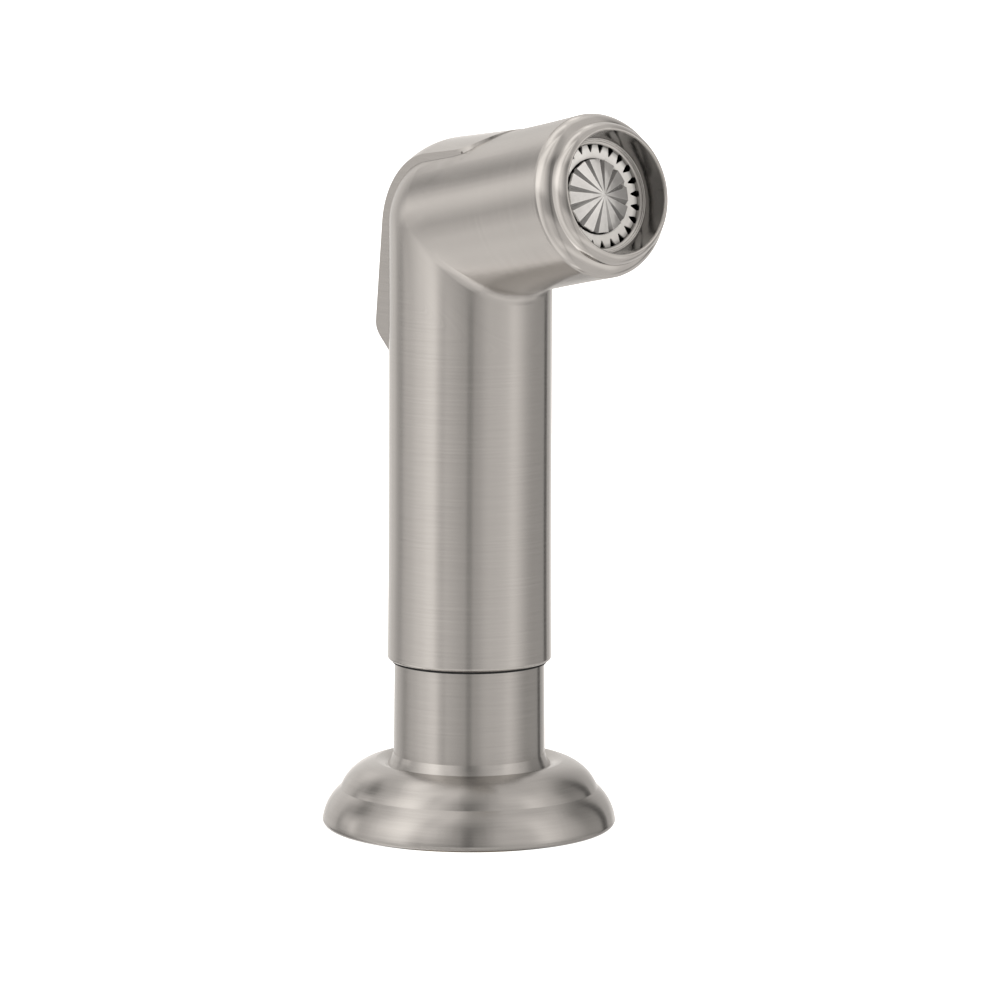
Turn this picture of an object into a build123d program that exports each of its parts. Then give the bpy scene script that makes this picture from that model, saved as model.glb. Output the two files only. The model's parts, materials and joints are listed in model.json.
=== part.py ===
from build123d import *
import math
import os

os.makedirs("parts", exist_ok=True)

# Side spray for a kitchen sink, with its deck holder. Millimetres, +Z up.
# Origin: on the handle's axis, on the deck plane (the underside of the holder's flange).
# The spray head points to -Y and the thumb lever is on the +Y side.

# ---------------------------------------------------------------- driving dimensions
FLANGE_R = 27.0  # widest radius of the deck flange
NECK_TOP_Z = 38.5  # top of the holder's neck, hidden inside the handle's skirt
NECK_R_LOW, NECK_R_TOP = 13.94, 13.70
NECK_BORE_R = 12.2
SHANK_R, SHANK_BORE_R, SHANK_LOW_Z = 13.95, 11.5, -42.0
GUIDE_BORE_R = 9.3
DECK_T = 20.0  # thickness of the worktop between gasket and washer

HANDLE_R = 14.88
SKIRT_R = 15.06  # the handle widens a little towards its lower end
SKIRT_Z = 30.85  # lower end of the handle
SKIRT_BORE_R = 14.1
HANDLE_BORE_R = 12.9

HEAD_TILT = 11.85  # degrees the head points above the horizontal
CROSS_Z = 111.05  # where the head's axis crosses the handle's axis
HEAD_R_MID, HEAD_R_END = 14.56, 14.66
HEAD_BORE_R = 12.7
HEAD_LEN = 37.3  # from the crossing to the front edge of the shell
INNER_FILLET = 2.4  # between the underside of the head and the handle

LEVER_HALF = 9.0  # half width of the thumb lever
LEVER_GAP = 0.25
LEVER_ROUND_AT = 8.9  # centre of the lever's round front end, along the head's axis
LEVER_CROWN = 2.74  # height of the crown over the lever's long edges
LEVER_BEND_R = 15.0  # bend of the lever's long edges
LEVER_TOP_SLOPE, LEVER_LEAN = 8.0, 5.75  # degrees
LEVER_SKIN, LEVER_WALL = 2.3, 1.6
PIVOT_ALONG, PIVOT_UP = 8.5, 8.5  # pivot pin, along and above the head's axis
PIVOT_R, PIVOT_CLEAR = 1.0, 0.06
POCKET_FLOOR_UP, POCKET_FLOOR_Y = 5.6, 6.0
POCKET_WALL = 1.1
POCKET_END_R = 40.2  # lower wall of the pocket, about the pivot

SUPPLY_R, SUPPLY_BORE_R = 3.9, 2.6
OUTLET_R, OUTLET_BORE_R = 3.0, 1.7
VALVE_Z = 102.0  # height of the valve stem's axis
STEM_HEAD_Y = 12.6

OPENING_R = 10.95  # mouth of the nozzle ring
TEETH_R, TEETH_ROOT_R, TEETH = 9.2, 7.88, 24
PLATE_TOP, PLATE_HOLE_R = 36.3, 6.78
ROSETTE_R, FLUTES = 6.62, 12
SEAT_RING_Z = 30.42  # groove for the seat ring, just under the handle's skirt

T = math.radians(HEAD_TILT)
HEAD = Location(
    Plane(
        origin=(0, 0, CROSS_Z),
        x_dir=(1, 0, 0),
        z_dir=(0, -math.cos(T), math.sin(T)),
    )
)  # local +Z runs out along the head, local +Y is the head's upper side


def head_yz(along, up):
    """Global (y, z) of a point given along and above the head's axis."""
    return (
        -along * math.cos(T) + up * math.sin(T),
        CROSS_Z + along * math.sin(T) + up * math.cos(T),
    )


def turned(points):
    """A solid of revolution about Z from a closed (radius, height) polygon."""
    pts = [(r, 0, z) for r, z in points]
    return revolve(make_face(Polyline(*pts, close=True)), Axis.Z, 360)


def turned_edges(*edges):
    return revolve(make_face(Curve() + list(edges)), Axis.Z, 360)


def arc(a, m, b):
    return ThreePointArc((a[0], 0, a[1]), (m[0], 0, m[1]), (b[0], 0, b[1]))


def line(*pts):
    return Polyline(*[(r, 0, z) for r, z in pts])


def tube(r_out, r_in, z0, z1):
    return turned([(r_in, z0), (r_out, z0), (r_out, z1), (r_in, z1)])


def rod(r, z0, z1):
    return Location((0, 0, (z0 + z1) / 2)) * Cylinder(r, z1 - z0)


def ring(major, minor, z):
    return Location((0, 0, z)) * Torus(major, minor)


def along_y(shape, z):
    """Turns a solid built about +Z so that its axis runs along +Y at height z."""
    return Location((0, 0, z)) * (Rotation(-90, 0, 0) * shape)


def slab(points, x0, x1):
    """A (y, z) polygon extruded from x0 to x1."""
    face = make_face(Polyline(*[(x0, y, z) for y, z in points], close=True))
    return extrude(face, amount=x1 - x0, dir=(1, 0, 0))


def one(shape):
    solids = shape.solids()
    return solids[0] if len(solids) == 1 else Compound(children=list(solids))


parts = {}

# ---------------------------------------------------------------- deck holder
# Flange: a lower roll, a small step, an upper dome, a flared collar and the neck.
CREASE = (23.96, 6.82)
DOME_LOW = (23.70, 7.06)
DOME_TOP = (17.2, 12.15)
VALLEY = (14.95, 11.50)  # where the collar round the neck's foot meets the dome
COLLAR_TOP = (13.94, 13.48)
flange = turned_edges(
    arc((25.7, 0.0), (26.62, 0.32), (27.0, 1.1)),
    line((27.0, 1.1), (26.93, 1.55)),
    arc((26.93, 1.55), (25.89, 4.48), CREASE),
    line(CREASE, DOME_LOW),
    arc(DOME_LOW, (20.81, 10.73), DOME_TOP),
    arc(DOME_TOP, (16.03, 11.98), VALLEY),
    arc(VALLEY, (14.38, 12.47), COLLAR_TOP),
    line(
        COLLAR_TOP,
        (13.77, SEAT_RING_Z),
        (13.45, SEAT_RING_Z),
        (13.45, SEAT_RING_Z + 0.41),
        (13.77, SEAT_RING_Z + 0.41),
        (NECK_R_TOP, NECK_TOP_Z - 0.5),
        (NECK_R_TOP - 0.5, NECK_TOP_Z),
        (NECK_BORE_R, NECK_TOP_Z),
        (NECK_BORE_R, 9.0),
        (SHANK_R + 0.02, 9.0),
        (SHANK_R + 0.02, 0.0),
        (17.0, 0.0),
        (17.0, 8.2),
        (20.0, 8.2),
        (22.9, 4.6),
        (23.4, 1.6),
        (24.8, 1.6),
        (24.8, 0.0),
        (25.7, 0.0),
    ),
)
parts["holder_flange"] = flange

# black ring in the neck's groove, the seat of the handle's skirt
parts["skirt_seat_ring"] = tube(14.22, 13.47, SEAT_RING_Z + 0.01, SEAT_RING_Z + 0.40)

parts["deck_gasket"] = turned(
    [(17.1, 0.0), (24.7, 0.0), (24.7, 1.55), (17.1, 1.55)]
)

THREAD_PITCH, THREAD_DEPTH = 1.6, 0.8
crests = []
for k in range(22):
    z = SHANK_LOW_Z + 1.0 + THREAD_PITCH * k
    crests += [
        (SHANK_R, z),
        (SHANK_R, z + 0.25),
        (SHANK_R - THREAD_DEPTH, z + 0.8),
        (SHANK_R - THREAD_DEPTH, z + 1.05),
    ]
parts["threaded_shank"] = turned(
    [
        (SHANK_BORE_R, SHANK_LOW_Z + 0.6),
        (SHANK_BORE_R + 0.6, SHANK_LOW_Z),
        (SHANK_R - 1.0, SHANK_LOW_Z),
        *crests,
        (SHANK_R, SHANK_LOW_Z + 1.0 + THREAD_PITCH * 22),
        (SHANK_R, 8.95),
        (SHANK_BORE_R, 8.95),
    ]
)

parts["neck_guide_bush"] = turned(
    [
        (GUIDE_BORE_R, 9.1),
        (NECK_BORE_R - 0.02, 9.1),
        (NECK_BORE_R - 0.02, 37.7),
        (GUIDE_BORE_R + 1.4, 37.7),
        (GUIDE_BORE_R, 35.6),
    ]
)

WASHER_TOP = -DECK_T
parts["deck_washer"] = tube(22.5, SHANK_R + 0.35, WASHER_TOP - 2.0, WASHER_TOP)

nut_low, nut_top = WASHER_TOP - 13.0, WASHER_TOP - 2.02
hexagon = extrude(
    Location((0, 0, nut_low)) * RegularPolygon(radius=19.0, side_count=6, major_radius=False),
    amount=nut_top - nut_low,
)
hexagon = hexagon & turned(
    [
        (0, nut_low),
        (19.4, nut_low),
        (21.6, nut_low + 1.4),
        (21.6, nut_top),
        (0, nut_top),
    ]
)
parts["mounting_nut"] = (
    hexagon + rod(21.6, nut_top - 2.4, nut_top) - rod(SHANK_R + 0.02, nut_low - 1, nut_top + 1)
)

# ---------------------------------------------------------------- hose end
# The end of the hose: a spigot held in the coupling nut by a split ring, so it turns freely.
TAIL_TOP = 10.45
parts["hose_tail"] = turned(
    [
        (2.6, -18.0),
        (3.6, -18.0),
        (4.2, -17.4),
        (4.2, -5.0),
        (4.45, -5.0),
        (4.45, 2.15),
        (3.5, 2.15),
        (3.5, 3.30),
        (4.45, 3.30),
        (4.45, TAIL_TOP),
        (2.6, TAIL_TOP),
    ]
)
split = tube(5.75, 3.52, 2.2, 3.22)
parts["hose_retaining_ring"] = split - Location((0, -5.0, 2.7)) * Box(3.0, 5.0, 3.0)
parts["swivel_washer"] = tube(5.7, 2.8, TAIL_TOP, 11.8)

# ---------------------------------------------------------------- coupling and inlet
nut_body = turned(
    [
        (4.8, -3.0),
        (6.9, -3.0),
        (7.4, -2.5),
        (8.3, 12.0),
        (8.75, 12.6),
        (8.75, 23.4),
        (8.3, 24.0),
        (6.05, 24.0),
        (6.05, 12.0),
        (6.25, 12.0),
        (6.25, 2.0),
        (4.8, 2.0),
    ]
)
flutes = [
    Location((0, 0, 18.0), (0, 0, a)) * (Location((9.15, 0, 0)) * Cylinder(0.75, 10.4))
    for a in range(0, 360, 20)
]
parts["coupling_nut"] = nut_body - flutes

parts["inlet_stem"] = turned(
    [
        (3.2, 12.0),
        (6.0, 12.0),
        (6.0, 33.0),
        (6.9, 34.0),
        (6.9, 46.6),
        (8.6, 46.6),
        (8.6, 49.6),
        (6.9, 49.6),
        (6.9, 60.0),
        (SUPPLY_R + 0.05, 60.0),
        (SUPPLY_R + 0.05, 51.0),
        (3.2, 50.0),
    ]
)
parts["inlet_screen"] = (
    rod(3.15, 12.2, 12.6)
    - [Location((1.15 * i + (0.575 if j % 2 else 0), 1.0 * j, 12.4)) * Cylinder(0.36, 2)
       for i in range(-3, 3) for j in range(-2, 3)
       if math.hypot(1.15 * i + (0.575 if j % 2 else 0), 1.0 * j) < 2.6]
)
parts["handle_end_bush"] = turned(
    [
        (7.0, 38.6),
        (13.2, 38.6),
        (14.0, 39.2),
        (14.0, 40.15),
        (HANDLE_BORE_R - 0.03, 40.15),
        (HANDLE_BORE_R - 0.03, 46.5),
        (7.0, 46.5),
    ]
)
parts["supply_tube"] = (
    tube(SUPPLY_R, SUPPLY_BORE_R, 51.2, 92.8)
    - tube(SUPPLY_R + 1, SUPPLY_R - 0.8, 55.45, 56.55)
    - tube(SUPPLY_R + 1, SUPPLY_R - 0.8, 89.85, 90.95)
)
parts["supply_o_rings"] = ring(SUPPLY_R - 0.37, 0.40, 56.0) + ring(SUPPLY_R - 0.37, 0.40, 90.4)

# ---------------------------------------------------------------- body shell
handle = turned_edges(
    line((0, SKIRT_Z), (14.45, SKIRT_Z)),
    arc((14.45, SKIRT_Z), (14.87, SKIRT_Z + 0.2), (SKIRT_R, SKIRT_Z + 0.65)),
    arc((SKIRT_R, SKIRT_Z + 0.65), (14.93, 46.5), (HANDLE_R, 64.0)),
    line((HANDLE_R, 64.0), (HANDLE_R, CROSS_Z), (0, CROSS_Z), (0, SKIRT_Z)),
)
back = HANDLE_R * math.sqrt(0.5)
head = HEAD * turned_edges(
    arc((0, -HANDLE_R), (back, -back), (HANDLE_R, 0)),
    arc((HANDLE_R, 0), (HEAD_R_MID, 20.0), (HEAD_R_END, HEAD_LEN - 0.3)),
    line(
        (HEAD_R_END, HEAD_LEN - 0.3),
        (HEAD_R_END - 0.25, HEAD_LEN),
        (0, HEAD_LEN),
        (0, -HANDLE_R),
    ),
)
outer = handle + head
inner_edges = [
    e
    for e in outer.edges()
    if e.center().Y < -4 and 88 < e.center().Z < 108 and abs(e.center().X) < 14
]
try:
    outer = fillet(inner_edges, INNER_FILLET)
    print("fillet under the head:", INNER_FILLET)
except Exception as problem:
    print("no fillet under the head:", problem)

PIVOT_Y, PIVOT_Z = head_yz(PIVOT_ALONG, PIVOT_UP)


def round_front(radius):
    """A prism along the head's upright: straight sides behind, a half-round end in front."""
    return HEAD * (
        Location((0, -15, LEVER_ROUND_AT - 40)) * Box(2 * radius, 90, 80)
        + Location((0, -15, LEVER_ROUND_AT), (90, 0, 0)) * Cylinder(radius, 90)
    )


def pocket(grow, half):
    """The lever's pocket: a floor along the head and down the back, and a lower wall that follows the lever's swing."""
    up, y = POCKET_FLOOR_UP - grow, POCKET_FLOOR_Y - grow
    front = LEVER_ROUND_AT + half + 1.0
    corner_along = (up * math.sin(T) - y) / math.cos(T)
    end_r = POCKET_END_R + grow
    wall = []
    for k in range(13):
        yy = y + (22.0 - y) * k / 12
        wall.append((yy, PIVOT_Z - math.sqrt(end_r**2 - (yy - PIVOT_Y) ** 2)))
    pts = [
        head_yz(front, 22),
        head_yz(front, up),
        (y, head_yz(corner_along, up)[1]),
        *wall,
        (34, wall[-1][1]),
        (34, 140),
        (head_yz(front, 22)[0], 140),
    ]
    return slab(pts, -half, half) & round_front(half)


bores = (
    rod(HANDLE_BORE_R, 39.0, CROSS_Z)
    + Location((0, 0, CROSS_Z)) * Sphere(HANDLE_BORE_R)
    + HEAD * rod(HEAD_BORE_R, 0, HEAD_LEN + 1)
)
bores = bores - pocket(POCKET_WALL, LEVER_HALF + LEVER_GAP + POCKET_WALL)
shell = outer - bores - rod(SKIRT_BORE_R, SKIRT_Z - 1, 40.2)
shell = shell - pocket(0.0, LEVER_HALF + LEVER_GAP)
for side in (-1, 1):
    seat = Cylinder(PIVOT_R + 0.01, 3.0)
    shell = shell - Location((side * (LEVER_HALF + 0.7), PIVOT_Y, PIVOT_Z), (0, 90, 0)) * seat
shell = shell - along_y(rod(2.1, 3.0, 8.0), VALVE_Z)
parts["spray_body"] = max(shell.solids(), key=lambda s: s.volume)

parts["lever_pivot_pin"] = Location((0, PIVOT_Y, PIVOT_Z), (0, 90, 0)) * Cylinder(
    PIVOT_R, 2 * (LEVER_HALF + 2.1)
)

# ---------------------------------------------------------------- thumb lever
# The long edges run along the head, round the bend and down the back. The crown stands over them.
sl, ln = math.radians(LEVER_TOP_SLOPE), math.radians(LEVER_LEAN)
BEND_Y, BEND_Z = -0.1, 109.2  # centre of the bend of the long edges
p1 = (BEND_Y + LEVER_BEND_R * math.sin(sl), BEND_Z + LEVER_BEND_R * math.cos(sl))
p2 = (BEND_Y + LEVER_BEND_R * math.cos(ln), BEND_Z + LEVER_BEND_R * math.sin(ln))
mid_a = math.radians((90 - LEVER_TOP_SLOPE + LEVER_LEAN) / 2)
pm = (BEND_Y + LEVER_BEND_R * math.cos(mid_a), BEND_Z + LEVER_BEND_R * math.sin(mid_a))
p0 = (p1[0] - 20 * math.cos(sl), p1[1] + 20 * math.sin(sl))
p3 = (p2[0] + 34 * math.sin(ln), p2[1] - 34 * math.cos(ln))
edge_path = Wire(
    [
        Line((0, *p0), (0, *p1)),
        ThreePointArc((0, *p1), (0, *pm), (0, *p2)),
        Line((0, *p2), (0, *p3)),
    ]
)


def lever_section(half, crown, drop, depth):
    """Crowned cross section in the plane across the path's start, its edges drop below the path."""
    plane = Plane(
        origin=(0, *p0),
        x_dir=(1, 0, 0),
        z_dir=(0, math.cos(sl), -math.sin(sl)),
    )
    # local y of this plane points outwards, away from the head
    out = 1 if plane.y_dir.Z > 0 else -1
    return plane * make_face(
        Curve()
        + [
            ThreePointArc((-half, -out * drop), (0, out * (crown - drop)), (half, -out * drop)),
            Polyline((half, -out * drop), (half, -out * depth), (-half, -out * depth), (-half, -out * drop)),
        ]
    )


lever = sweep(lever_section(LEVER_HALF, LEVER_CROWN, 0.0, 11.5), path=edge_path)
hollow = sweep(
    lever_section(LEVER_HALF - LEVER_WALL, LEVER_CROWN - 0.6, LEVER_SKIN - 0.6, 13.5),
    path=edge_path,
)
lever = (lever & round_front(LEVER_HALF)) - (hollow & round_front(LEVER_HALF - LEVER_WALL))

# skirts end just under the body's surface all the way round the elbow
skirt_up, skirt_y, skirt_r = 9.9, 10.3, 10.6
turn_a = math.degrees(math.atan2(skirt_up, -math.sqrt(skirt_r**2 - skirt_up**2)))
turn_b = math.degrees(math.asin(math.sqrt(skirt_r**2 - skirt_y**2) / skirt_r))
start_a = 180 - HEAD_TILT - turn_a
inside = [head_yz(40, skirt_up)]
for k in range(13):
    a = math.radians(start_a + (turn_b - start_a) * k / 12)
    inside.append((skirt_r * math.cos(a), CROSS_Z + skirt_r * math.sin(a)))
inside += [(skirt_y, 60), (-40, 60)]
print("skirt corner", [(round(y, 2), round(z, 2)) for y, z in inside])
lever = lever - slab(inside, -12, 12)
NOSE_A, NOSE_B = (16.35, 90.55), (12.84, 87.34)
slope = (NOSE_A[1] - NOSE_B[1]) / (NOSE_A[0] - NOSE_B[0])
nose = [
    (5.0, NOSE_B[1] + (5.0 - NOSE_B[0]) * slope),
    (30.0, NOSE_B[1] + (30.0 - NOSE_B[0]) * slope),
    (30.0, 60.0),
    (5.0, 60.0),
]
lever = lever - slab(nose, -12, 12)
nose_edges = [
    e
    for e in lever.edges()
    if e.center().Y > 15.5 and e.center().Z < 95 and e.bounding_box().size.X > 15
]
try:
    lever = fillet(nose_edges, 2.4)
    print("nose fillet on", len(nose_edges), "edge")
except Exception as problem:
    print("no nose fillet:", problem)
# end wall behind the nose, hinge ears and the rib that pushes the valve stem
web = [
    (skirt_y, NOSE_B[1] + (skirt_y - NOSE_B[0]) * slope),
    (17.2, NOSE_B[1] + (17.2 - NOSE_B[0]) * slope),
    (17.2, NOSE_B[1] + (17.2 - NOSE_B[0]) * slope + 2.2),
    (skirt_y, NOSE_B[1] + (skirt_y - NOSE_B[0]) * slope + 2.2),
]
lever = lever + slab(web, -LEVER_HALF + 1.0, LEVER_HALF - 1.0)
ear_a, ear_b = head_yz(PIVOT_ALONG + 2.3, PIVOT_UP), head_yz(PIVOT_ALONG - 2.3, PIVOT_UP)
ear_top_a, ear_top_b = head_yz(PIVOT_ALONG + 2.6, 12.0), head_yz(PIVOT_ALONG - 3.4, 12.0)
for x0, x1 in ((-LEVER_HALF, -5.4), (5.4, LEVER_HALF)):
    lever = lever + slab([ear_a, ear_b, ear_top_b, ear_top_a], x0, x1)
    lever = lever + Location(((x0 + x1) / 2, PIVOT_Y, PIVOT_Z), (0, 90, 0)) * Cylinder(
        2.3, abs(x1 - x0)
    )
rib = [(STEM_HEAD_Y + 0.15, VALVE_Z - 4.0), (STEM_HEAD_Y + 0.15, VALVE_Z + 3.4), (16.8, VALVE_Z + 4.4), (16.8, VALVE_Z - 4.6)]
lever = lever + slab(rib, -2.2, 2.2)
lever = lever - Location((0, PIVOT_Y, PIVOT_Z), (0, 90, 0)) * Cylinder(
    PIVOT_R + PIVOT_CLEAR, 30
)
parts["thumb_lever"] = lever

# ---------------------------------------------------------------- valve
block = Location((0, -2.9, 99.25)) * Box(18.0, 15.2, 22.5)
block = block & rod(12.4, 80, 125)
block = block + (
    HEAD * (rod(5.4, -2.0, 9.0) & Location((0, -6 + 4.2, 3)) * Box(20, 12, 20))
    & Location((0, -20 + 4.7, 110)) * Box(40, 40, 60)
)
block = block - rod(SUPPLY_R + 0.05, 80.0, 93.0)
block = block - Location((0, -4.3, 97.0)) * Cylinder(2.1, 10.0)
block = block - along_y(rod(4.2, -12.0, -0.5), VALVE_Z)
block = block - along_y(rod(3.2, -0.6, 1.6), VALVE_Z)
block = block - along_y(rod(1.62, 1.0, 6.0), VALVE_Z)
block = block - along_y(rod(3.1, 2.6, 6.0), VALVE_Z)
block = block - Location((0, 0.4, 106.5)) * Cylinder(1.7, 9.0)
block = block - HEAD * rod(OUTLET_R + 0.05, 1.0, 12.0)
parts["valve_body"] = block

parts["valve_seat"] = along_y(
    turned([(2.4, -1.9), (2.8, -2.2), (4.15, -2.2), (4.15, -0.52), (2.4, -0.52)]), VALVE_Z
)
parts["stem_seal"] = along_y(ring(2.3, 0.75, 3.4), VALVE_Z)
parts["stem_gland"] = along_y(tube(3.05, 1.65, 4.2, 4.65), VALVE_Z)
parts["valve_stem"] = along_y(
    turned(
        [
            (0, -4.4),
            (1.0, -4.4),
            (1.0, -3.9),
            (3.3, -3.9),
            (3.3, -3.05),
            (1.2, -3.05),
            (1.2, 1.4),
            (1.52, 1.7),
            (1.52, 10.6),
            (2.5, 11.2),
            (2.5, 12.0),
            (1.6, 12.45),
            (0, STEM_HEAD_Y),
        ]
    ),
    VALVE_Z,
)
parts["poppet_washer"] = along_y(tube(3.3, 1.22, -3.03, -2.25), VALVE_Z)
spring_path = Helix(pitch=1.5, height=4.4, radius=2.35)
spring_section = Plane(origin=spring_path @ 0, z_dir=spring_path % 0) * Circle(0.25)
spring = sweep(spring_section, path=spring_path, is_frenet=True)
parts["valve_spring"] = along_y(Location((0, 0, -8.6)) * spring, VALVE_Z)
parts["valve_cap"] = along_y(
    turned(
        [
            (0, -11.9),
            (5.0, -11.9),
            (5.0, -10.55),
            (4.15, -10.55),
            (4.15, -9.0),
            (0, -9.0),
        ]
    ),
    VALVE_Z,
) - along_y(extrude(Location((0, 0, -12.5)) * RegularPolygon(radius=1.8, side_count=6), amount=1.8), VALVE_Z)

# ---------------------------------------------------------------- outlet and nozzle
outlet = HEAD * turned(
    [
        (OUTLET_BORE_R, 2.0),
        (OUTLET_R, 2.0),
        (OUTLET_R, 4.95),
        (OUTLET_R - 0.68, 4.95),
        (OUTLET_R - 0.68, 5.85),
        (OUTLET_R, 5.85),
        (OUTLET_R, 23.0),
        (11.1, 26.5),
        (11.1, 30.4),
        (9.8, 30.4),
        (9.8, 28.0),
        (OUTLET_BORE_R, 24.0),
    ]
)
parts["outlet_tube"] = outlet
parts["outlet_o_ring"] = HEAD * ring(OUTLET_R - 0.33, 0.33, 5.4)
parts["face_gasket"] = HEAD * tube(11.1, 9.4, 30.42, 31.6)
parts["flow_screen"] = HEAD * (
    rod(11.1, 31.62, 32.0)
    - [
        Location((r * math.cos(math.radians(a)), r * math.sin(math.radians(a)), 31.8)) * Cylinder(0.6, 2)
        for r, n in ((0.01, 1), (2.2, 6), (4.4, 12), (6.6, 18), (8.4, 24))
        for a in [360 * k / n for k in range(n)]
    ]
)
parts["face_collar"] = HEAD * turned(
    [
        (8.9, 32.02),
        (11.15, 32.02),
        (11.15, 37.66),
        (10.12, 37.66),
        (10.02, 37.60),
        (9.96, 37.44),
        (9.74, 37.40),
        (9.68, 37.24),
        (9.44, 37.20),
        (TEETH_R + 0.03, 37.06),
        (TEETH_R + 0.03, 33.9),
        (8.9, 33.9),
    ]
)
plate = turned(
    [
        (1.5, 33.92),
        (TEETH_R, 33.92),
        (TEETH_R, PLATE_TOP),
        (PLATE_HOLE_R + 0.14, PLATE_TOP),
        (PLATE_HOLE_R, PLATE_TOP - 0.12),
        (PLATE_HOLE_R, 35.3),
        (1.5, 35.3),
    ]
)
half_gap, root_half_gap = math.radians(4.9), math.radians(0.8)
notch = []
for k in range(TEETH):
    a = 2 * math.pi * k / TEETH
    outer_r = TEETH_R + 0.6
    corners = (
        (TEETH_ROOT_R, -root_half_gap),
        (outer_r, -half_gap),
        (outer_r, half_gap),
        (TEETH_ROOT_R, root_half_gap),
    )
    tri = Polyline(*[(r * math.cos(a + t), r * math.sin(a + t)) for r, t in corners], close=True)
    notch.append(extrude(Location((0, 0, 33.0)) * make_face(tri), amount=5.0))
plate = plate - notch
plate = plate - [
    Location((4.6 * math.cos(math.radians(a)), 4.6 * math.sin(math.radians(a)), 34.6)) * Cylinder(1.1, 3)
    for a in range(0, 360, 60)
]
parts["spray_plate"] = HEAD * plate

# fluted spreader: twelve broad facets and twelve narrow grooves, from the rim to the apex
rim_z, groove_z, apex_z, base_z = 37.10, 36.55, 38.75, 35.35
top, low = [], []
for k in range(FLUTES):
    for step, r, z in (
        (-10.0, ROSETTE_R, rim_z),
        (0.0, ROSETTE_R * math.cos(math.radians(10)), rim_z + 0.03),
        (10.0, ROSETTE_R, rim_z),
        (14.0, ROSETTE_R - 0.12, groove_z),
    ):
        a = math.radians(360 * k / FLUTES + step)
        top.append(Vector(r * math.cos(a), r * math.sin(a), z))
        low.append(Vector(r * math.cos(a), r * math.sin(a), base_z))
apex = Vector(0, 0, apex_z)
faces = [Face(Wire.make_polygon(low[::-1], close=True))]
for k in range(4 * FLUTES):
    j = (k + 1) % (4 * FLUTES)
    faces.append(Face(Wire.make_polygon([top[k], top[j], apex], close=True)))
    faces.append(Face(Wire.make_polygon([low[k], low[j], top[j], top[k]], close=True)))
rosette = Solid(Shell(faces))
rosette = rosette - rod(1.2, base_z - 1, base_z + 2.0)
parts["spreader_rosette"] = HEAD * rosette
parts["rosette_screw"] = HEAD * (
    turned([(0, 32.3), (2.0, 32.3), (2.6, 32.8), (2.6, 33.9), (1.18, 33.9), (1.18, 37.0), (0, 37.0)])
    - Location((0, 0, 32.3)) * Box(4.2, 0.7, 1.2)
)

# polished ring: threaded skirt inside the head, two rolls outside, a tapered mouth
BEAD_CREASE = (12.76, 39.84)
parts["nozzle_ring"] = HEAD * turned_edges(
    line(
        (11.2, 31.0),
        (12.6, 31.0),
        (12.6, HEAD_LEN + 0.02),
        (14.2, HEAD_LEN + 0.02),
        (14.36, HEAD_LEN + 0.08),
        (14.58, HEAD_LEN + 0.2),
    ),
    arc((14.58, HEAD_LEN + 0.2), (14.21, 38.33), BEAD_CREASE),
    arc(BEAD_CREASE, (12.36, 41.07), (11.45, 42.12)),
    arc((11.45, 42.12), (11.14, 42.22), (OPENING_R, 41.92)),
    line((OPENING_R, 41.92), (10.20, 37.68), (11.2, 37.68), (11.2, 31.0)),
)

# ---------------------------------------------------------------- write
for name, shape in parts.items():
    shape = one(shape)
    shape.label = name
    export_step(shape, f"parts/{name}.step")
    b = shape.bounding_box()
    print(f"{name:20s} solids {len(shape.solids())} volume {shape.volume:9.1f}  z {b.min.Z:7.2f} {b.max.Z:7.2f}")
print(len(parts), "nodes; pivot", round(PIVOT_Y, 3), round(PIVOT_Z, 3))
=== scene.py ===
import json
import math

import bmesh
import bpy
import numpy as np
from mathutils import Matrix, Vector


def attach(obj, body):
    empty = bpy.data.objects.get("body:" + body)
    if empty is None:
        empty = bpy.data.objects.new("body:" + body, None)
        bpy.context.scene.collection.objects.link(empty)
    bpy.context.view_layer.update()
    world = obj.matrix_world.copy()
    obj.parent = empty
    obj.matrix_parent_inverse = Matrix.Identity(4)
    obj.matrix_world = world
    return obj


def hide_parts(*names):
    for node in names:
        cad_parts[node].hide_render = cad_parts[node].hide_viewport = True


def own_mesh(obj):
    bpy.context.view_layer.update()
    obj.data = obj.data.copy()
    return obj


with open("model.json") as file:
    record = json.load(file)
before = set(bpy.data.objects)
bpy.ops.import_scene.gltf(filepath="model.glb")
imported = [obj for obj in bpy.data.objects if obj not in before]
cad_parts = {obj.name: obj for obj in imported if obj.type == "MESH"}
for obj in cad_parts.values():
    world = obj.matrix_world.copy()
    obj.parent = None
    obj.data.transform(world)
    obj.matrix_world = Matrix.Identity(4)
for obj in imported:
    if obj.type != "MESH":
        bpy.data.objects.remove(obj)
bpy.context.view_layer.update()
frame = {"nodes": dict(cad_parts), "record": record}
nodes = frame["nodes"]

MM = 0.001
TILT = math.radians(11.85)
CROSS_Z = 111.05
HEAD_AXIS = Vector((0.0, -math.cos(TILT), math.sin(TILT)))
HEAD_UP = Vector((0.0, math.sin(TILT), math.cos(TILT)))

# ---------------------------------------------------------------- camera
AZ, DIST, CAM_Z = math.radians(-38.402), 1.0, 0.205689
PITCH, FOCAL, AXIS_X, ROLL = math.radians(8.273), 5525.46, 469.73, math.radians(0.25)
turn = math.atan((500 - AXIS_X) / FOCAL)
level = Vector((-math.sin(AZ), math.cos(AZ), 0)) * math.cos(turn) + Vector((math.cos(AZ), math.sin(AZ), 0)) * math.sin(turn)
look = Vector((level.x * math.cos(PITCH), level.y * math.cos(PITCH), -math.sin(PITCH)))
side = look.cross(Vector((0, 0, 1))).normalized()
up = side.cross(look)
side, up = side * math.cos(ROLL) + up * math.sin(ROLL), up * math.cos(ROLL) - side * math.sin(ROLL)
cam_data = bpy.data.cameras.new("camera")
cam_data.sensor_fit = "HORIZONTAL"
cam_data.sensor_width = 36.0
cam_data.lens = FOCAL * 36.0 / 1000.0
cam_data.clip_start, cam_data.clip_end = 0.05, 50.0
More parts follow.
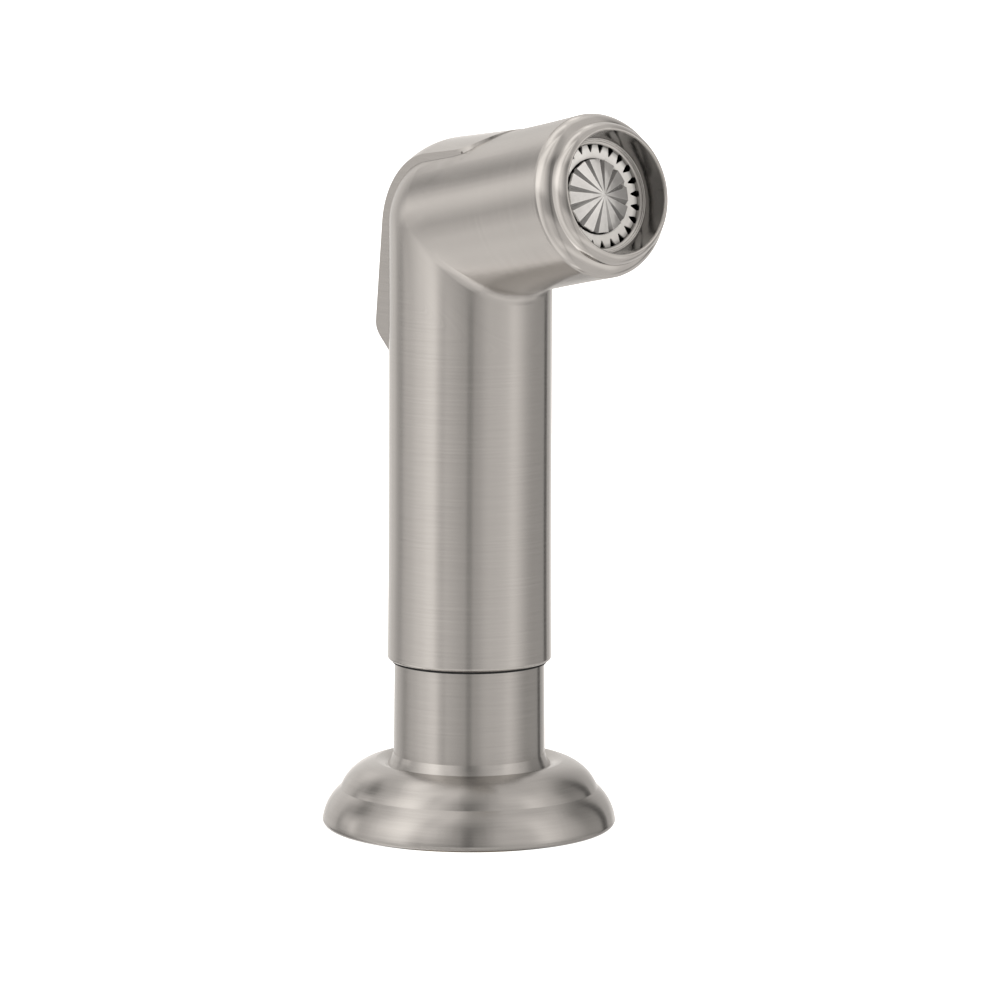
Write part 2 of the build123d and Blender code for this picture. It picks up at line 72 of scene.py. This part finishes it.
cam = bpy.data.objects.new("camera", cam_data)
bpy.context.scene.collection.objects.link(cam)
basis = Matrix((side, up, -look)).transposed().to_4x4()
cam.matrix_world = Matrix.Translation((math.sin(AZ) * DIST, -math.cos(AZ) * DIST, CAM_Z)) @ basis
bpy.context.scene.camera = cam


# ---------------------------------------------------------------- node helpers
class Graph:
    """Short hand for building a material's node tree."""

    def __init__(self, name, tree=None):
        self.mat = None
        if tree is None:
            self.mat = bpy.data.materials.new(name)
            self.mat.use_nodes = True
            tree = self.mat.node_tree
        self.tree = tree
        tree.nodes.clear()

    def add(self, kind, inputs=None, **props):
        n = self.tree.nodes.new(kind)
        for k, v in props.items():
            setattr(n, k, v)
        for k, v in (inputs or {}).items():
            self.put(n, k, v)
        return n

    def put(self, n, key, v):
        socket = n.inputs[key]
        if isinstance(v, bpy.types.NodeSocket):
            self.tree.links.new(v, socket)
        else:
            socket.default_value = v

    def math(self, op, a, b=0.0, c=0.0, clamp=False):
        n = self.add("ShaderNodeMath", operation=op, use_clamp=clamp)
        for i, v in enumerate((a, b, c)):
            if isinstance(v, bpy.types.NodeSocket):
                self.tree.links.new(v, n.inputs[i])
            else:
                n.inputs[i].default_value = v
        return n.outputs[0]

    def vec(self, op, a, b=(0, 0, 0), scale=None):
        n = self.add("ShaderNodeVectorMath", operation=op)
        for i, v in enumerate((a, b)):
            if isinstance(v, bpy.types.NodeSocket):
                self.tree.links.new(v, n.inputs[i])
            else:
                n.inputs[i].default_value = v
        if scale is not None:
            self.put(n, "Scale", scale)
        return n.outputs["Value"] if op in ("DOT_PRODUCT", "LENGTH") else n.outputs[0]

    def remap(self, v, a, b, c=0.0, d=1.0, smooth=True):
        n = self.add("ShaderNodeMapRange", interpolation_type="SMOOTHSTEP" if smooth else "LINEAR")
        self.put(n, "Value", v)
        n.inputs["From Min"].default_value, n.inputs["From Max"].default_value = a, b
        n.inputs["To Min"].default_value, n.inputs["To Max"].default_value = c, d
        return n.outputs["Result"]

    def mixf(self, f, a, b):
        n = self.add("ShaderNodeMix", data_type="FLOAT")
        self.put(n, 0, f)
        self.put(n, 2, a)
        self.put(n, 3, b)
        return n.outputs[0]

    def mixc(self, f, a, b, blend="MIX"):
        n = self.add("ShaderNodeMix", data_type="RGBA", blend_type=blend)
        self.put(n, 0, f)
        self.put(n, 6, a if isinstance(a, bpy.types.NodeSocket) else (*a, 1.0))
        self.put(n, 7, b if isinstance(b, bpy.types.NodeSocket) else (*b, 1.0))
        return n.outputs[2]

    def mixv(self, f, a, b):
        n = self.add("ShaderNodeMix", data_type="VECTOR")
        self.put(n, 0, f)
        self.put(n, 4, a)
        self.put(n, 5, b)
        return n.outputs[1]

    def noise(self, vector, scale=1.0, detail=2.0, rough=0.5, **kw):
        n = self.add("ShaderNodeTexNoise", {"Vector": vector, "Scale": scale, "Detail": detail, "Roughness": rough}, **kw)
        return n.outputs["Fac"]

    def surface(self, shader):
        out = self.add("ShaderNodeOutputMaterial")
        self.tree.links.new(shader, out.inputs["Surface"])
        return self.mat


def brushed(name, base, rough, aniso, axis=None, head=False, grain=1.0, painted_foot_shade=False):
    """Brushed nickel. The scratches run round the axis, so the reflection is drawn out along it."""
    g = Graph(name)
    p = g.add("ShaderNodeTexCoord").outputs["Object"]
    p = g.vec("SCALE", p, scale=1000.0)
    bsdf = g.add("ShaderNodeBsdfPrincipled")
    z = g.vec("DOT_PRODUCT", p, (0, 0, 1))
    if head:
        q = g.vec("SUBTRACT", p, (0, 0, CROSS_Z))
        s = g.vec("DOT_PRODUCT", q, tuple(HEAD_AXIS))
        # the handle's brushing gives way to the head's across the plane that halves the elbow
        m = g.vec("DOT_PRODUCT", q, tuple((HEAD_AXIS + Vector((0, 0, 1))).normalized()))
        mask = g.remap(m, -9.0, 9.0)
        ax = g.mixv(mask, (0, 0, 1), tuple(HEAD_AXIS))
        along = g.mixf(mask, z, s)
    else:
        a = axis or (0, 0, 1)
        ax = g.add("ShaderNodeCombineXYZ", {0: a[0], 1: a[1], 2: a[2]}).outputs[0]
        along = g.vec("DOT_PRODUCT", g.vec("SUBTRACT", p, (0, 0, CROSS_Z)), a) if axis else z
    inner = 1.0
    if head:
        # painted shade: inside the lever's pocket the nickel is darkened to a tenth, standing in for the shade in the
        # recess round the lever
        x = g.vec("DOT_PRODUCT", p, (1, 0, 0))
        u = g.vec("DOT_PRODUCT", q, tuple(HEAD_UP))
        fwd = g.math("MAXIMUM", g.math("SUBTRACT", s, 8.9), 0.0)
        d2 = g.math("SQRT", g.math("ADD", g.math("MULTIPLY", x, x), g.math("MULTIPLY", fwd, fwd)))
        back_ = g.math("MAXIMUM", g.remap(u, 5.0, 5.6, smooth=False), g.remap(g.vec("DOT_PRODUCT", p, (0, 1, 0)), 5.4, 6.0, smooth=False))
        swing = g.vec("MULTIPLY", g.vec("SUBTRACT", p, (0, -6.573, 121.114)), (0, 1, 1))
        back_ = g.math("MULTIPLY", back_, g.remap(g.vec("LENGTH", swing), 40.24, 40.3, 1.0, 0.0))
        inner = g.mixf(g.math("MULTIPLY", g.remap(d2, 9.26, 9.31, 1.0, 0.0), back_), 1.0, 0.10)
    if painted_foot_shade:
        # painted shade: the flange is darkened towards its bottom edge, to 0.74 below 0.6 mm, as a contact shadow
        # where it stands on the deck
        inner = g.remap(z, 0.6, 1.8, 0.74, 1.0)
    world_axis = g.add("ShaderNodeVectorTransform", {"Vector": ax}, vector_type="VECTOR", convert_from="OBJECT", convert_to="WORLD").outputs[0]
    slow = g.vec("MULTIPLY", p, (0.055, 0.055, 0.055))
    off = g.add("ShaderNodeCombineXYZ", {2: g.math("MULTIPLY", along, 3.2)}).outputs[0]
    v1 = g.vec("ADD", slow, off)
    lines = g.noise(v1, 1.0, 4.0, 0.62)
    off2 = g.add("ShaderNodeCombineXYZ", {2: g.math("MULTIPLY", along, 9.0)}).outputs[0]
    fine = g.noise(g.vec("ADD", g.vec("MULTIPLY", p, (0.16, 0.16, 0.16)), off2), 1.0, 2.0, 0.6)
    cloud = g.noise(g.vec("MULTIPLY", p, (0.05, 0.05, 0.05)), 1.0, 3.0, 0.5)
    tone = g.math("ADD", g.math("MULTIPLY", lines, 0.6), g.math("MULTIPLY", fine, 0.4))
    light = g.math("MULTIPLY", g.remap(tone, 0.3, 0.7, 1.0 - 0.035 * grain, 1.0 + 0.035 * grain, smooth=False), inner)
    col = g.vec("SCALE", tuple(base), scale=light)
    g.put(bsdf, "Base Color", col)
    bsdf.inputs["Metallic"].default_value = 1.0
    r = g.math("ADD", g.remap(tone, 0.3, 0.7, rough - 0.03, rough + 0.03, smooth=False), g.remap(cloud, 0.3, 0.7, -0.012, 0.012))
    g.put(bsdf, "Roughness", r)
    bsdf.inputs["Anisotropic"].default_value = aniso
    g.put(bsdf, "Tangent", world_axis)
    bump = g.add("ShaderNodeBump", {"Strength": 0.25 * grain, "Distance": 0.00001, "Height": tone})
    g.put(bsdf, "Normal", bump.outputs[0])
    return g.surface(bsdf.outputs[0])


def plain(name, base, rough, metallic=0.0, grain=0.02, scale=0.5, bump=0.00001, spec=0.5):
    g = Graph(name)
    p = g.vec("SCALE", g.add("ShaderNodeTexCoord").outputs["Object"], scale=1000.0)
    n1 = g.noise(g.vec("SCALE", p, scale=scale), 1.0, 4.0, 0.6)
    n2 = g.noise(g.vec("SCALE", p, scale=0.12), 1.0, 2.0, 0.5)
    bsdf = g.add("ShaderNodeBsdfPrincipled")
    bsdf.inputs["Metallic"].default_value = metallic
    bsdf.inputs["Specular IOR Level"].default_value = spec
    g.put(bsdf, "Base Color", g.vec("SCALE", tuple(base), scale=g.remap(n2, 0.3, 0.7, 1 - grain, 1 + grain)))
    g.put(bsdf, "Roughness", g.remap(n1, 0.3, 0.7, rough * 0.88, rough * 1.12))
    b = g.add("ShaderNodeBump", {"Strength": 0.4, "Distance": bump, "Height": n1})
    g.put(bsdf, "Normal", b.outputs[0])
    return g.surface(bsdf.outputs[0])


def head_coords(g):
    """Millimetres along the head's axis, the distance from it, and the angle round it in degrees."""
    p = g.vec("SCALE", g.add("ShaderNodeTexCoord").outputs["Object"], scale=1000.0)
    q = g.vec("SUBTRACT", p, (0, 0, CROSS_Z))
    s = g.vec("DOT_PRODUCT", q, tuple(HEAD_AXIS))
    x = g.vec("DOT_PRODUCT", q, (1, 0, 0))
    u = g.vec("DOT_PRODUCT", q, tuple(HEAD_UP))
    r = g.math("SQRT", g.math("ADD", g.math("MULTIPLY", x, x), g.math("MULTIPLY", u, u)))
    a = g.math("MULTIPLY", g.math("ARCTAN2", u, x), 180 / math.pi)
    return p, s, r, a


def polished(name, base, rough, wall):
    """Plated and polished, a little wavy from the buffing. Painted shade darkens the bore's wall and turns the ledge
    under the slots black.
    """
    g = Graph(name)
    p, s, r, a = head_coords(g)
    bsdf = g.add("ShaderNodeBsdfPrincipled")
    wave = g.noise(g.vec("SCALE", p, scale=0.22), 1.0, 2.0, 0.5)
    fine = g.noise(g.vec("SCALE", p, scale=1.6), 1.0, 3.0, 0.6)
    marks = g.noise(g.add("ShaderNodeCombineXYZ", {0: g.math("MULTIPLY", s, 2.6), 1: g.math("MULTIPLY", a, 0.012), 2: g.math("MULTIPLY", r, 2.6)}).outputs[0], 1.0, 3.0, 0.6)
    tone = g.remap(g.math("ADD", g.math("MULTIPLY", wave, 0.5), g.math("MULTIPLY", marks, 0.5)), 0.3, 0.7, 0.94, 1.05, smooth=False)
    if wall:
        # painted shade: the bore's wall, inside 10.9 mm radius and short of 41.75 mm along the head, darkened by the
        # factor wall, standing in for the dark interior it mirrors
        inside = g.math("MULTIPLY", g.remap(r, 10.9, 11.05, 1.0, 0.0), g.remap(s, 41.75, 42.0, 1.0, 0.0))
        tone = g.math("MULTIPLY", tone, g.mixf(inside, 1.0, wall))
    else:
        # painted shade: the collar below 36.1 mm along the head, the ledge under the slots, is painted almost black
        tone = g.math("MULTIPLY", tone, g.remap(s, 36.1, 36.3, 0.01, 1.0))
        # painted shade: inside 9.24 mm radius the collar is darkened to 0.55
        tone = g.math("MULTIPLY", tone, g.remap(r, 9.24, 9.32, 0.55, 1.0))
    g.put(bsdf, "Base Color", g.vec("SCALE", tuple(base), scale=tone))
    bsdf.inputs["Metallic"].default_value = 1.0
    g.put(bsdf, "Roughness", g.remap(g.math("ADD", g.math("MULTIPLY", fine, 0.5), g.math("MULTIPLY", marks, 0.5)), 0.3, 0.7, rough * 0.8, rough * 1.25))
    bump = g.add("ShaderNodeBump", {"Strength": 0.5, "Distance": 0.00004, "Height": g.math("ADD", wave, g.math("MULTIPLY", fine, 0.06))})
    g.put(bsdf, "Normal", bump.outputs[0])
    return g.surface(bsdf.outputs[0])


def plate(name, base, rough):
    """Moulded white plastic, with painted shade: the walls of the slots between the teeth are darkened nearly to
    black, and the teeth darken towards their tips.
    """
    g = Graph(name)
    p, s, r, a = head_coords(g)
    bsdf = g.add("ShaderNodeBsdfPrincipled")
    n1 = g.noise(g.vec("SCALE", p, scale=0.9), 1.0, 4.0, 0.6)
    n2 = g.noise(g.vec("SCALE", p, scale=0.2), 1.0, 2.0, 0.5)
    # painted shade: below 36.26 mm along the head the slots' walls go nearly black
    shade = g.remap(s, 35.75, 36.26, 0.015, 1.0)
    shade = g.mixf(g.remap(s, 20.0, 21.0), 1.0, shade)
    # painted shade: the teeth darken outwards from 8.3 mm radius to 0.62 at 9.1 mm, as the shadow of the collar's
    # step
    shade = g.math("MULTIPLY", shade, g.remap(r, 8.3, 9.1, 1.0, 0.62))
    tone = g.math("MULTIPLY", g.math("MULTIPLY", g.remap(n2, 0.3, 0.7, 0.96, 1.03), g.remap(n1, 0.3, 0.7, 0.97, 1.02)), shade)
    g.put(bsdf, "Base Color", g.vec("SCALE", tuple(base), scale=tone))
    g.put(bsdf, "Roughness", g.remap(n1, 0.3, 0.7, rough * 0.85, rough * 1.15))
    bump = g.add("ShaderNodeBump", {"Strength": 0.4, "Distance": 0.00002, "Height": n1})
    g.put(bsdf, "Normal", bump.outputs[0])
    return g.surface(bsdf.outputs[0])


def rosette(name, base, rough):
    """Metal-toned satin moulding. Its twelve narrow grooves are darkened with painted shade, much darker than the
    broad facets, the facets' edges beside them carry a painted highlight, and its side wall is darkened with painted
    shade.
    """
    g = Graph(name)
    p, s, r, a = head_coords(g)
    bsdf = g.add("ShaderNodeBsdfPrincipled")
    off = g.math("ABSOLUTE", g.math("WRAP", g.math("SUBTRACT", a, 15.0), 15.0, -15.0))
    # painted shade: the twelve narrow grooves darkened to 0.6
    painted_groove_shade = g.math("MULTIPLY", g.remap(off, 4.3, 5.3, 1.0, 0.0), g.remap(r, 0.5, 1.6))
    # painted highlight: the facets' edges beside the grooves lightened by 1.12
    painted_ridge_highlight = g.math("MULTIPLY", g.math("MULTIPLY", g.remap(off, 4.9, 5.6), g.remap(off, 6.0, 7.2, 1.0, 0.0)), g.remap(r, 1.0, 2.5))
    n1 = g.noise(g.vec("SCALE", p, scale=1.4), 1.0, 4.0, 0.6)
    n2 = g.noise(g.vec("SCALE", p, scale=0.3), 1.0, 2.0, 0.5)
    tone = g.math("MULTIPLY", g.remap(n2, 0.3, 0.7, 0.95, 1.04), g.remap(n1, 0.3, 0.7, 0.97, 1.03))
    tone = g.math("MULTIPLY", tone, g.mixf(painted_groove_shade, 1.0, 0.6))
    tone = g.math("MULTIPLY", tone, g.mixf(painted_ridge_highlight, 1.0, 1.12))
    # painted shade: the moulding's side wall, proud of the plate outside 6.5 mm radius, darkened to 0.12
    painted_side_shade = g.math("MULTIPLY", g.remap(r, 6.42, 6.5), g.remap(s, 36.35, 37.0, 1.0, 0.0))
    tone = g.math("MULTIPLY", tone, g.mixf(painted_side_shade, 1.0, 0.12))
    g.put(bsdf, "Base Color", g.vec("SCALE", tuple(base), scale=tone))
    bsdf.inputs["Metallic"].default_value = 0.7
    g.put(bsdf, "Roughness", g.remap(n1, 0.3, 0.7, rough * 0.85, rough * 1.2))
    bump = g.add("ShaderNodeBump", {"Strength": 0.4, "Distance": 0.00001, "Height": n1})
    g.put(bsdf, "Normal", bump.outputs[0])
    return g.surface(bsdf.outputs[0])


NICKEL = (0.600, 0.580, 0.558)
ROUGH, ANISO = 0.227, 0.907
# painted shade: the flange's nickel is the body's at 0.9, a darker copy of the same finish
m_flange = brushed("nickel_flange", tuple(0.9 * c for c in NICKEL), ROUGH, ANISO, grain=1.45, painted_foot_shade=True)
m_body = brushed("nickel_body", NICKEL, ROUGH, ANISO, head=True, grain=1.35)
m_lever = brushed("nickel_lever", NICKEL, 0.24, 0.88, grain=1.35)
m_ring = polished("nickel_ring", (0.615, 0.595, 0.573), 0.13, wall=0.3)
m_collar = polished("nickel_collar", (0.62, 0.605, 0.585), 0.22, wall=0.0)
m_nut = brushed("nickel_nut", (0.62, 0.60, 0.57), 0.2, 0.7, grain=0.6)
m_white = plate("white_plastic", (0.82, 0.802, 0.772), 0.32)
m_rosette = rosette("satin_plastic", (0.74, 0.73, 0.715), 0.17)
m_black = plain("black_plastic", (0.025, 0.025, 0.027), 0.42)
m_grey = plain("grey_plastic", (0.36, 0.36, 0.355), 0.42)
m_rubber = plain("black_rubber", (0.012, 0.012, 0.012), 0.7, spec=0.2)
m_brass = brushed("brass", (0.78, 0.57, 0.29), 0.27, 0.7, grain=1.4)
m_steel = plain("stainless", (0.6, 0.6, 0.61), 0.25, 1.0)
m_zinc = brushed("zinc_steel", (0.56, 0.57, 0.585), 0.34, 0.5, grain=1.2)
by_slot = {
    "brushed_nickel": m_body, "polished_nickel": m_ring, "brass": m_brass, "stainless": m_steel,
    "zinc_steel": m_zinc, "black_rubber": m_rubber, "black_plastic": m_black, "grey_plastic": m_grey,
    "white_plastic": m_white, "satin_plastic": m_rosette,
}
slot_of = {s["node"]: s["material_slot"] for s in frame["record"]["subparts"]}
for name, o in nodes.items():
    o.material_slots[0].material = by_slot[slot_of[name]]
nodes["holder_flange"].material_slots[0].material = m_flange
nodes["thumb_lever"].material_slots[0].material = m_lever
nodes["face_collar"].material_slots[0].material = m_collar
nodes["coupling_nut"].material_slots[0].material = m_nut

# the valve's spring as a piece of its own
coil = bpy.data.objects.new("valve_spring_coil", nodes["valve_spring"].data.copy())
bpy.context.scene.collection.objects.link(coil)
coil.matrix_world = nodes["valve_spring"].matrix_world.copy()
coil.data.materials.clear()
coil.data.materials.append(m_steel)
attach(coil, "sprayer")
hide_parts("valve_spring")
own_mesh(coil)

# ---------------------------------------------------------------- stage
mesh = bpy.data.meshes.new("floor")
bm = bmesh.new()
outer = [bm.verts.new((6 * math.cos(a), 6 * math.sin(a), 0)) for a in np.linspace(0, 2 * math.pi, 64, endpoint=False)]
inner = [bm.verts.new((0.0146 * math.cos(a), 0.0146 * math.sin(a), 0)) for a in np.linspace(0, 2 * math.pi, 64, endpoint=False)]
for i in range(64):
    j = (i + 1) % 64
    bm.faces.new((outer[i], outer[j], inner[j], inner[i]))
bm.to_mesh(mesh)
bm.free()
floor = bpy.data.objects.new("floor", mesh)
bpy.context.scene.collection.objects.link(floor)
g = Graph("floor_white")
dif = g.add("ShaderNodeBsdfDiffuse", {"Color": (0.9, 0.9, 0.9, 1)})
emi = g.add("ShaderNodeEmission", {"Color": (1, 1, 1, 1), "Strength": 0.97})
mix = g.add("ShaderNodeAddShader")
g.tree.links.new(dif.outputs[0], mix.inputs[0])
g.tree.links.new(emi.outputs[0], mix.inputs[1])
mesh.materials.append(g.surface(mix.outputs[0]))
floor.visible_glossy = False

# ---------------------------------------------------------------- light
world = bpy.data.worlds.new("studio")
bpy.context.scene.world = world
world.use_nodes = True
w = Graph("studio", world.node_tree)
d = w.add("ShaderNodeTexCoord").outputs["Generated"]
sep = w.add("ShaderNodeSeparateXYZ", {0: d})
# azimuth measured from the camera's side of the object, positive to the camera's right
cx, cy = math.sin(AZ), -math.cos(AZ)
front = w.math("ADD", w.math("MULTIPLY", sep.outputs[0], cx), w.math("MULTIPLY", sep.outputs[1], cy))
right = w.math("ADD", w.math("MULTIPLY", sep.outputs[0], math.cos(AZ)), w.math("MULTIPLY", sep.outputs[1], math.sin(AZ)))
azi = w.math("MULTIPLY", w.math("ARCTAN2", right, front), 180 / math.pi)
ele = w.math("MULTIPLY", w.math("ARCSINE", sep.outputs[2]), 180 / math.pi)


def soft_span(v, half, soft):
    """1 where the distance v is under half, 0 beyond it, with a soft edge."""
    return w.remap(v, half - soft, half + soft, 1.0, 0.0)


BASE = 0.674
PANELS = [
    # soft boxes and dark flags round the object: azimuth, half width, edge; elevation, half height, edge; strength
    (-177.7, 5.6, 3.6, 45.4, 7, 4.5, 0.383),
    (-177.7, 16.4, 1.6, 3.9, 99.7, 19.7, 0.106),
    (-176.1, 7.0, 7.0, -5.2, 8.6, 8.3, 0.463),
    (-176.0, 12.4, 4.9, -60.5, 11.5, 6.0, -0.103),
    (-157.8, 23.6, 2.6, 34.9, 53.3, 24.8, 0.032),
    (-152.5, 7.5, 4.8, 9.8, 8.4, 4.5, 0.099),
    (-152.3, 22.3, 7.7, -1.9, 24.1, 7.9, 0.046),
    (-141.6, 19.3, 1.5, 29.8, 7, 7.0, 0.268),
    (-136.0, 14.7, 1.5, -35.0, 20.7, 6.4, -0.75),
    (-133.8, 9.5, 4.0, -26.0, 8.1, 5.7, 0.144),
    (-133.0, 43.5, 17.3, -59.9, 30.4, 30.4, 0.841),
    (-131.7, 8.1, 5.1, 32.0, 10.1, 4.5, -0.319),
    (-128.3, 37.9, 5.2, 63.6, 7.6, 7.1, 0.591),
    (-120.0, 5.2, 1.9, 0.3, 59.6, 20.0, 0.048),
    (-118.7, 10.0, 4.9, -16.5, 7, 5.0, 0.446),
    (-116.3, 9.0, 9.0, -5.1, 46.1, 8.3, -0.545),
    (-112.0, 9.7, 5.3, 10.2, 10.8, 10.8, 0.756),
    (-107.7, 13.0, 7.4, -11.2, 7, 4.5, -0.11),
    (-75.3, 9.6, 9.6, 12.6, 92.8, 20.6, 0.197),
    (-53.5, 13.4, 9.2, -13.9, 60.0, 7.0, 0.342),
    (-49.3, 33.8, 22.2, 50.0, 35.7, 7.3, 0.438),
    (-43.8, 6.4, 4.7, 19.4, 63.1, 14.8, -0.283),
    (-29.0, 11.0, 11.0, 1.4, 100.5, 19.8, 0.109),
    (-9.4, 27.0, 13.0, 22.9, 32.3, 7.9, -0.302),
    (-3.1, 41.5, 15.0, 65.9, 24.8, 10.7, -0.156),
    (-0.9, 4.2, 2.1, -13.8, 55.2, 17.3, -0.17),
    (39.2, 62.2, 14.1, -45.3, 7, 6.0, 0.265),
    (49.2, 32.9, 4.7, 0.8, 98.2, 20.6, 0.026),
    (56.8, 12.6, 11.9, 7.8, 43.1, 8.8, 0.061),
    (58.5, 20.2, 10.1, 52.3, 9.6, 7.2, 0.126),
    (80.9, 22.3, 9.1, 19.8, 27.0, 7.9, 0.356),
    (113.1, 33.5, 23.6, 10.9, 32.1, 10.2, -0.428),
    (125.0, 21.7, 9.5, -1.3, 23.4, 21.8, 0.187),
    (134.8, 5.2, 1.6, -6.0, 42.0, 12.0, -0.36),
    (166.4, 12.3, 2.8, -9.2, 7, 6.2, 0.252),
    (174.8, 17.7, 2.0, 55.0, 12.1, 4.5, 0.16),
    (179.9, 9.6, 4.2, -53.2, 19.0, 4.5, -0.749),
]
total = None
for c, h, e, c2, h2, e2, k in PANELS:
    across = w.math("ABSOLUTE", w.math("WRAP", w.math("SUBTRACT", azi, c), 180.0, -180.0))
    above = w.math("ABSOLUTE", w.math("SUBTRACT", ele, c2))
    t = w.math("MULTIPLY", w.math("MULTIPLY", soft_span(across, h, e), soft_span(above, h2, e2)), k)
    total = t if total is None else w.math("ADD", total, t)
total = w.math("MAXIMUM", w.math("ADD", total, BASE), 0.02)
bg_l = w.add("ShaderNodeBackground", {"Strength": total, "Color": (1.0, 0.965, 0.93, 1)})
bg_c = w.add("ShaderNodeBackground", {"Strength": 1.0, "Color": (1, 1, 1, 1)})
lp = w.add("ShaderNodeLightPath")
mx = w.add("ShaderNodeMixShader", {0: lp.outputs["Is Camera Ray"], 1: bg_l.outputs[0], 2: bg_c.outputs[0]})
out = w.add("ShaderNodeOutputWorld")
w.tree.links.new(mx.outputs[0], out.inputs["Surface"])

# a soft light on the nozzle's side, for the plastics only: the metals don't mirror it
lamp = bpy.data.lights.new("nozzle_side", "AREA")
lamp.shape, lamp.size, lamp.energy = "DISK", 1.2, 5.7
lamp.color = (1.0, 0.98, 0.955)
lamp_o = bpy.data.objects.new("nozzle_side", lamp)
bpy.context.scene.collection.objects.link(lamp_o)
spot = Vector((0.25, -1.6, 0.75))
lamp_o.matrix_world = Matrix.Translation(spot) @ (Vector((0, 0, 0.12)) - spot).to_track_quat("-Z", "Y").to_matrix().to_4x4()
lamp_o.visible_glossy = False

bpy.context.scene.view_settings.view_transform = "Standard"
bpy.context.scene.view_settings.look = "None"
